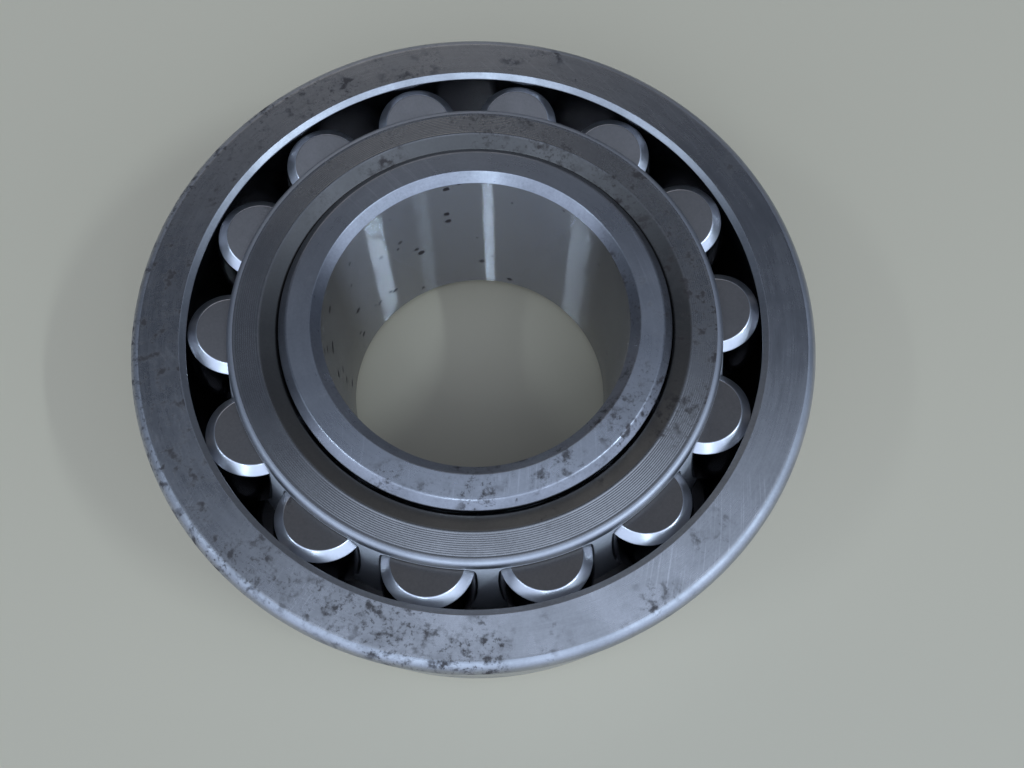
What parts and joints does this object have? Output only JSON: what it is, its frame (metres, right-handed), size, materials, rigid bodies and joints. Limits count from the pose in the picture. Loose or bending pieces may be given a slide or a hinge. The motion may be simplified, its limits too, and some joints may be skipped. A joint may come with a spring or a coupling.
{
  "type": "spherical roller bearing",
  "caption": "Double-row self-aligning bearing: barrel rollers in pressed window cages run between a bored inner ring and an outer ring with a spherical raceway.",
  "frame": {"origin": "centre of the bearing: on the bore axis, halfway between the two side faces", "axes": "+Z along the bore axis, out of the upper side face; a bar of the upper cage lies towards -Y at rest; X is the swivel axis"},
  "size_m": [0.11, 0.11, 0.04],
  "materials": {
    "ring_steel": "ground and honed bearing steel, oiled, with light stains and scuffs",
    "roller_steel": "ground and polished bearing steel, matt end faces",
    "cage_steel": "pressed sheet steel with a finely turned face band, dark satin",
    "guide_ring_steel": "turned steel, oiled"
  },
  "bodies": {
    "outer_ring": {"outer_ring": "ring_steel"},
    "inner_ring": {"inner_ring": "ring_steel"},
    "guide_ring": {"guide_ring": "guide_ring_steel"},
    "cage_upper": {"cage_upper": "cage_steel"},
    "cage_lower": {"cage_lower": "cage_steel"},
    "roller_upper_01": {"roller_upper_01": "roller_steel"},
    "roller_upper_02": {"roller_upper_02": "roller_steel"},
    "roller_upper_03": {"roller_upper_03": "roller_steel"},
    "roller_upper_04": {"roller_upper_04": "roller_steel"},
    "roller_upper_05": {"roller_upper_05": "roller_steel"},
    "roller_upper_06": {"roller_upper_06": "roller_steel"},
    "roller_upper_07": {"roller_upper_07": "roller_steel"},
    "roller_upper_08": {"roller_upper_08": "roller_steel"},
    "roller_upper_09": {"roller_upper_09": "roller_steel"},
    "roller_upper_10": {"roller_upper_10": "roller_steel"},
    "roller_upper_11": {"roller_upper_11": "roller_steel"},
    "roller_upper_12": {"roller_upper_12": "roller_steel"},
    "roller_upper_13": {"roller_upper_13": "roller_steel"},
    "roller_upper_14": {"roller_upper_14": "roller_steel"},
    "roller_lower_01": {"roller_lower_01": "roller_steel"},
    "roller_lower_02": {"roller_lower_02": "roller_steel"},
    "roller_lower_03": {"roller_lower_03": "roller_steel"},
    "roller_lower_04": {"roller_lower_04": "roller_steel"},
    "roller_lower_05": {"roller_lower_05": "roller_steel"},
    "roller_lower_06": {"roller_lower_06": "roller_steel"},
    "roller_lower_07": {"roller_lower_07": "roller_steel"},
    "roller_lower_08": {"roller_lower_08": "roller_steel"},
    "roller_lower_09": {"roller_lower_09": "roller_steel"},
    "roller_lower_10": {"roller_lower_10": "roller_steel"},
    "roller_lower_11": {"roller_lower_11": "roller_steel"},
    "roller_lower_12": {"roller_lower_12": "roller_steel"},
    "roller_lower_13": {"roller_lower_13": "roller_steel"},
    "roller_lower_14": {"roller_lower_14": "roller_steel"}
  },
  "joints": [
    {"name": "self_aligning_swivel", "type": "hinge", "parent": "outer_ring", "child": "guide_ring", "pos_m": [0, 0, 0], "axis": [1, 0, 0], "range_deg": [-3, 3]},
    {"name": "inner_ring_spin", "type": "hinge", "parent": "guide_ring", "child": "inner_ring", "pos_m": [0, 0, 0], "axis": [0, 0, 1], "continuous": true},
    {"name": "cage_upper_spin", "type": "hinge", "parent": "guide_ring", "child": "cage_upper", "pos_m": [0, 0, 0], "axis": [0, 0, 1], "continuous": true},
    {"name": "cage_lower_spin", "type": "hinge", "parent": "guide_ring", "child": "cage_lower", "pos_m": [0, 0, 0], "axis": [0, 0, 1], "continuous": true},
    {"name": "roller_upper_01_spin", "type": "hinge", "parent": "cage_upper", "child": "roller_upper_01", "pos_m": [0.00915, -0.0401, 0.00987], "axis": [-0.0519, 0.2276, 0.9724], "continuous": true},
    {"name": "roller_upper_02_spin", "type": "hinge", "parent": "cage_upper", "child": "roller_upper_02", "pos_m": [0.02564, -0.03216, 0.00987], "axis": [-0.1456, 0.1825, 0.9724], "continuous": true},
    {"name": "roller_upper_03_spin", "type": "hinge", "parent": "cage_upper", "child": "roller_upper_03", "pos_m": [0.03706, -0.01785, 0.00987], "axis": [-0.2103, 0.1013, 0.9724], "continuous": true},
    {"name": "roller_upper_04_spin", "type": "hinge", "parent": "cage_upper", "child": "roller_upper_04", "pos_m": [0.04113, 0, 0.00987], "axis": [-0.2334, 0, 0.9724], "continuous": true},
    {"name": "roller_upper_05_spin", "type": "hinge", "parent": "cage_upper", "child": "roller_upper_05", "pos_m": [0.03706, 0.01785, 0.00987], "axis": [-0.2103, -0.1013, 0.9724], "continuous": true},
    {"name": "roller_upper_06_spin", "type": "hinge", "parent": "cage_upper", "child": "roller_upper_06", "pos_m": [0.02564, 0.03216, 0.00987], "axis": [-0.1456, -0.1825, 0.9724], "continuous": true},
    {"name": "roller_upper_07_spin", "type": "hinge", "parent": "cage_upper", "child": "roller_upper_07", "pos_m": [0.00915, 0.0401, 0.00987], "axis": [-0.0519, -0.2276, 0.9724], "continuous": true},
    {"name": "roller_upper_08_spin", "type": "hinge", "parent": "cage_upper", "child": "roller_upper_08", "pos_m": [-0.00915, 0.0401, 0.00987], "axis": [0.0519, -0.2276, 0.9724], "continuous": true},
    {"name": "roller_upper_09_spin", "type": "hinge", "parent": "cage_upper", "child": "roller_upper_09", "pos_m": [-0.02564, 0.03216, 0.00987], "axis": [0.1456, -0.1825, 0.9724], "continuous": true},
    {"name": "roller_upper_10_spin", "type": "hinge", "parent": "cage_upper", "child": "roller_upper_10", "pos_m": [-0.03706, 0.01785, 0.00987], "axis": [0.2103, -0.1013, 0.9724], "continuous": true},
    {"name": "roller_upper_11_spin", "type": "hinge", "parent": "cage_upper", "child": "roller_upper_11", "pos_m": [-0.04113, 0, 0.00987], "axis": [0.2334, 0, 0.9724], "continuous": true},
    {"name": "roller_upper_12_spin", "type": "hinge", "parent": "cage_upper", "child": "roller_upper_12", "pos_m": [-0.03706, -0.01785, 0.00987], "axis": [0.2103, 0.1013, 0.9724], "continuous": true},
    {"name": "roller_upper_13_spin", "type": "hinge", "parent": "cage_upper", "child": "roller_upper_13", "pos_m": [-0.02564, -0.03216, 0.00987], "axis": [0.1456, 0.1825, 0.9724], "continuous": true},
    {"name": "roller_upper_14_spin", "type": "hinge", "parent": "cage_upper", "child": "roller_upper_14", "pos_m": [-0.00915, -0.0401, 0.00987], "axis": [0.0519, 0.2276, 0.9724], "continuous": true},
    {"name": "roller_lower_01_spin", "type": "hinge", "parent": "cage_lower", "child": "roller_lower_01", "pos_m": [0, 0.04113, -0.00987], "axis": [0, 0.2334, 0.9724], "continuous": true},
    {"name": "roller_lower_02_spin", "type": "hinge", "parent": "cage_lower", "child": "roller_lower_02", "pos_m": [0.01785, 0.03706, -0.00987], "axis": [0.1013, 0.2103, 0.9724], "continuous": true},
    {"name": "roller_lower_03_spin", "type": "hinge", "parent": "cage_lower", "child": "roller_lower_03", "pos_m": [0.03216, 0.02564, -0.00987], "axis": [0.1825, 0.1456, 0.9724], "continuous": true},
    {"name": "roller_lower_04_spin", "type": "hinge", "parent": "cage_lower", "child": "roller_lower_04", "pos_m": [0.0401, 0.00915, -0.00987], "axis": [0.2276, 0.0519, 0.9724], "continuous": true},
    {"name": "roller_lower_05_spin", "type": "hinge", "parent": "cage_lower", "child": "roller_lower_05", "pos_m": [0.0401, -0.00915, -0.00987], "axis": [0.2276, -0.0519, 0.9724], "continuous": true},
    {"name": "roller_lower_06_spin", "type": "hinge", "parent": "cage_lower", "child": "roller_lower_06", "pos_m": [0.03216, -0.02564, -0.00987], "axis": [0.1825, -0.1456, 0.9724], "continuous": true},
    {"name": "roller_lower_07_spin", "type": "hinge", "parent": "cage_lower", "child": "roller_lower_07", "pos_m": [0.01785, -0.03706, -0.00987], "axis": [0.1013, -0.2103, 0.9724], "continuous": true},
    {"name": "roller_lower_08_spin", "type": "hinge", "parent": "cage_lower", "child": "roller_lower_08", "pos_m": [0, -0.04113, -0.00987], "axis": [0, -0.2334, 0.9724], "continuous": true},
    {"name": "roller_lower_09_spin", "type": "hinge", "parent": "cage_lower", "child": "roller_lower_09", "pos_m": [-0.01785, -0.03706, -0.00987], "axis": [-0.1013, -0.2103, 0.9724], "continuous": true},
    {"name": "roller_lower_10_spin", "type": "hinge", "parent": "cage_lower", "child": "roller_lower_10", "pos_m": [-0.03216, -0.02564, -0.00987], "axis": [-0.1825, -0.1456, 0.9724], "continuous": true},
    {"name": "roller_lower_11_spin", "type": "hinge", "parent": "cage_lower", "child": "roller_lower_11", "pos_m": [-0.0401, -0.00915, -0.00987], "axis": [-0.2276, -0.0519, 0.9724], "continuous": true},
    {"name": "roller_lower_12_spin", "type": "hinge", "parent": "cage_lower", "child": "roller_lower_12", "pos_m": [-0.0401, 0.00915, -0.00987], "axis": [-0.2276, 0.0519, 0.9724], "continuous": true},
    {"name": "roller_lower_13_spin", "type": "hinge", "parent": "cage_lower", "child": "roller_lower_13", "pos_m": [-0.03216, 0.02564, -0.00987], "axis": [-0.1825, 0.1456, 0.9724], "continuous": true},
    {"name": "roller_lower_14_spin", "type": "hinge", "parent": "cage_lower", "child": "roller_lower_14", "pos_m": [-0.01785, 0.03706, -0.00987], "axis": [-0.1013, 0.2103, 0.9724], "continuous": true}
  ],
  "couplings": [
    {"joint": "cage_upper_spin", "follows": "inner_ring_spin", "ratio": 0.41135},
    {"joint": "cage_lower_spin", "follows": "inner_ring_spin", "ratio": 0.41135},
    {"joint": "roller_upper_01_spin", "follows": "inner_ring_spin", "ratio": -2.6559},
    {"joint": "roller_upper_02_spin", "follows": "inner_ring_spin", "ratio": -2.6559},
    {"joint": "roller_upper_03_spin", "follows": "inner_ring_spin", "ratio": -2.6559},
    {"joint": "roller_upper_04_spin", "follows": "inner_ring_spin", "ratio": -2.6559},
    {"joint": "roller_upper_05_spin", "follows": "inner_ring_spin", "ratio": -2.6559},
    {"joint": "roller_upper_06_spin", "follows": "inner_ring_spin", "ratio": -2.6559},
    {"joint": "roller_upper_07_spin", "follows": "inner_ring_spin", "ratio": -2.6559},
    {"joint": "roller_upper_08_spin", "follows": "inner_ring_spin", "ratio": -2.6559},
    {"joint": "roller_upper_09_spin", "follows": "inner_ring_spin", "ratio": -2.6559},
    {"joint": "roller_upper_10_spin", "follows": "inner_ring_spin", "ratio": -2.6559},
    {"joint": "roller_upper_11_spin", "follows": "inner_ring_spin", "ratio": -2.6559},
    {"joint": "roller_upper_12_spin", "follows": "inner_ring_spin", "ratio": -2.6559},
    {"joint": "roller_upper_13_spin", "follows": "inner_ring_spin", "ratio": -2.6559},
    {"joint": "roller_upper_14_spin", "follows": "inner_ring_spin", "ratio": -2.6559},
    {"joint": "roller_lower_01_spin", "follows": "inner_ring_spin", "ratio": -2.6559},
    {"joint": "roller_lower_02_spin", "follows": "inner_ring_spin", "ratio": -2.6559},
    {"joint": "roller_lower_03_spin", "follows": "inner_ring_spin", "ratio": -2.6559},
    {"joint": "roller_lower_04_spin", "follows": "inner_ring_spin", "ratio": -2.6559},
    {"joint": "roller_lower_05_spin", "follows": "inner_ring_spin", "ratio": -2.6559},
    {"joint": "roller_lower_06_spin", "follows": "inner_ring_spin", "ratio": -2.6559},
    {"joint": "roller_lower_07_spin", "follows": "inner_ring_spin", "ratio": -2.6559},
    {"joint": "roller_lower_08_spin", "follows": "inner_ring_spin", "ratio": -2.6559},
    {"joint": "roller_lower_09_spin", "follows": "inner_ring_spin", "ratio": -2.6559},
    {"joint": "roller_lower_10_spin", "follows": "inner_ring_spin", "ratio": -2.6559},
    {"joint": "roller_lower_11_spin", "follows": "inner_ring_spin", "ratio": -2.6559},
    {"joint": "roller_lower_12_spin", "follows": "inner_ring_spin", "ratio": -2.6559},
    {"joint": "roller_lower_13_spin", "follows": "inner_ring_spin", "ratio": -2.6559},
    {"joint": "roller_lower_14_spin", "follows": "inner_ring_spin", "ratio": -2.6559}
  ]
}
